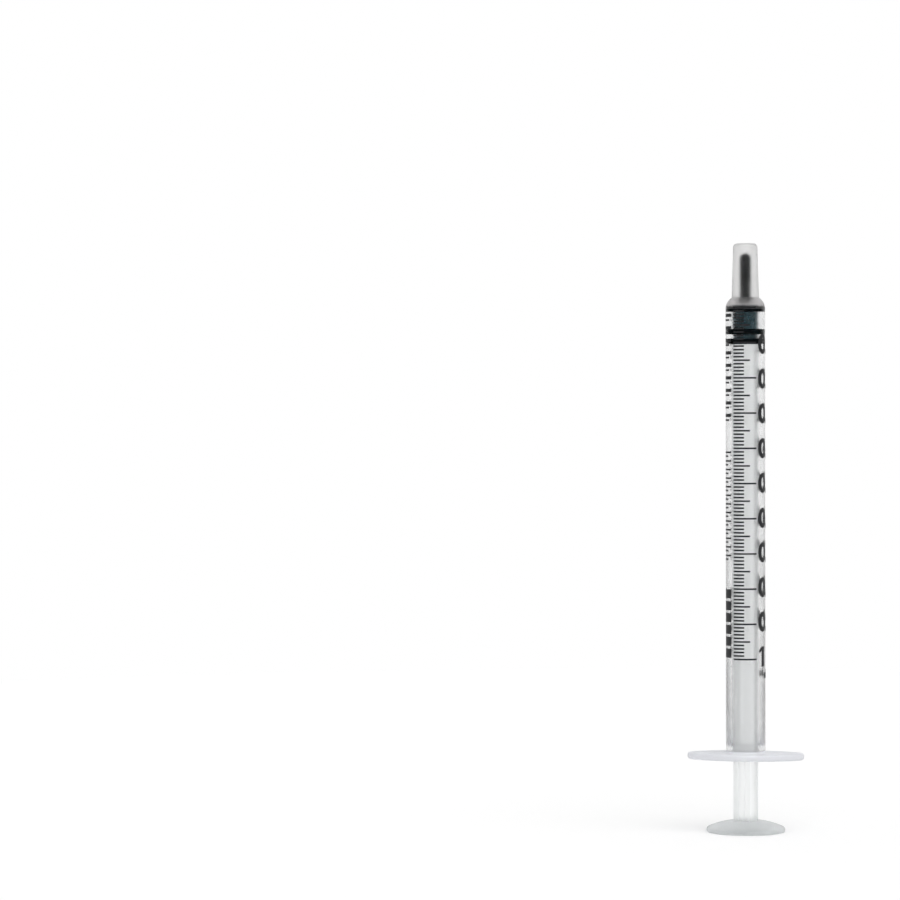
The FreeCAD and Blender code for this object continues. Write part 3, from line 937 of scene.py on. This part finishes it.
def make_floor(stage, tint):
    """A pale matt floor that keeps the shadow of the syringe."""
    bm = bmesh.new()
    bmesh.ops.create_circle(bm, cap_ends=True, segments=FLOOR_STEPS, radius=stage.floor_radius)
    floor = add_object(bm, "floor")
    material, tree, shader = new_material("pale_floor")
    set_sockets(shader, {
        "Base Color": (*tint, 1.0),
        "Roughness": 0.9,
        "Specular IOR Level": 0.0,
        "Emission Color": grey(1.0),
    })
    seen = light_path(tree, "Is Camera Ray", "Is Glossy Ray", "Is Transmission Ray")
    tree.links.new(mixed(tree, seen, 0.0, stage.floor_glow), shader.inputs["Emission Strength"])
    floor.data.materials.append(material)


def make_camera(stage):
    """The camera of the photograph, which stands to the right of the scale's front and looks past it."""
    middle = Vector((0, 0, (CAD_BOX[0].z + CAD_BOX[1].z) / 2))
    azimuth, elevation = stage.camera_azimuth, stage.camera_elevation
    back = Vector((
        math.sin(azimuth) * math.cos(elevation),
        -math.cos(azimuth) * math.cos(elevation),
        math.sin(elevation),
    ))
    data = bpy.data.cameras.new("camera")
    data.lens = stage.lens
    data.clip_start = stage.camera_distance / 60
    camera = bpy.data.objects.new("camera", data)
    aim = (-back).to_track_quat("-Z", "Y").to_matrix()
    for turn, axis in ((stage.camera_yaw, "Y"), (stage.camera_pitch, "X"), (stage.camera_roll, "Z")):
        aim = aim @ Matrix.Rotation(turn, 3, axis)
    camera.matrix_world = Matrix.LocRotScale(middle + back * stage.camera_distance, aim, None)
    bpy.context.scene.collection.objects.link(camera)
    bpy.context.scene.camera = camera


def make_sun(stage):
    """A wide, soft key light."""
    data = bpy.data.lights.new("soft_key", "SUN")
    data.energy = stage.sun
    data.angle = stage.sun_width
    sun = bpy.data.objects.new("soft_key", data)
    sun.rotation_euler = (stage.sun_tilt, 0, stage.sun_turn)
    bpy.context.scene.collection.objects.link(sun)


class SetStage(bpy.types.Operator):
    """Sets the floor, the light and the camera"""
    bl_idname = "syringe.set_stage"
    bl_label = "Floor, light and camera"

    def execute(self, context):
        stage = context.scene.syringe_stage
        context.scene.view_settings.view_transform = "Standard"
        make_world(stage)
        make_floor(stage, context.scene.syringe_finishes.floor_colour)
        make_sun(stage)
        make_camera(stage)
        return {"FINISHED"}


# Panel and registration


class SyringePanel(bpy.types.Panel):
    """Lists the pieces of the syringe and their sizes"""
    bl_idname = "SYRINGE_PT_pieces"
    bl_label = "Slip-tip syringe"
    bl_space_type = "VIEW_3D"
    bl_region_type = "UI"
    bl_category = "Syringe"

    def draw(self, context):
        for operator in OPERATORS:
            self.layout.operator(operator.bl_idname)
        for attribute, group in GROUPS.items():
            box = self.layout.box()
            for name in group.__annotations__:
                box.prop(getattr(context.scene, attribute), name)


GROUPS = {
    "syringe_barrel": BarrelSizes,
    "syringe_rod": RodSizes,
    "syringe_stopper": StopperSizes,
    "syringe_print": PrintSizes,
    "syringe_finishes": Finishes,
    "syringe_stage": StageSizes,
}
OPERATORS = (AddBarrel, AddPlungerRod, AddStopper, InkScaleMarks, AddNumbers, AddSideBars, SetStage)
CLASSES = (*GROUPS.values(), *OPERATORS, SyringePanel)


def register():
    """Registers the classes and gives the scene its groups of sizes."""
    for item in CLASSES:
        bpy.utils.register_class(item)
    for attribute, group in GROUPS.items():
        setattr(bpy.types.Scene, attribute, PointerProperty(type=group))


def unregister():
    """Takes the groups of sizes and the classes away again."""
    for attribute in GROUPS:
        delattr(bpy.types.Scene, attribute)
    for item in reversed(CLASSES):
        bpy.utils.unregister_class(item)


def main():
    """Builds the syringe and its stage."""
    register()
    bpy.ops.syringe.add_barrel()
    bpy.ops.syringe.add_plunger_rod()
    bpy.ops.syringe.add_stopper()
    bpy.ops.syringe.ink_scale_marks()
    bpy.ops.syringe.add_numbers()
    bpy.ops.syringe.add_side_bars()
    bpy.ops.syringe.set_stage()


if __name__ == "__main__":
    main()
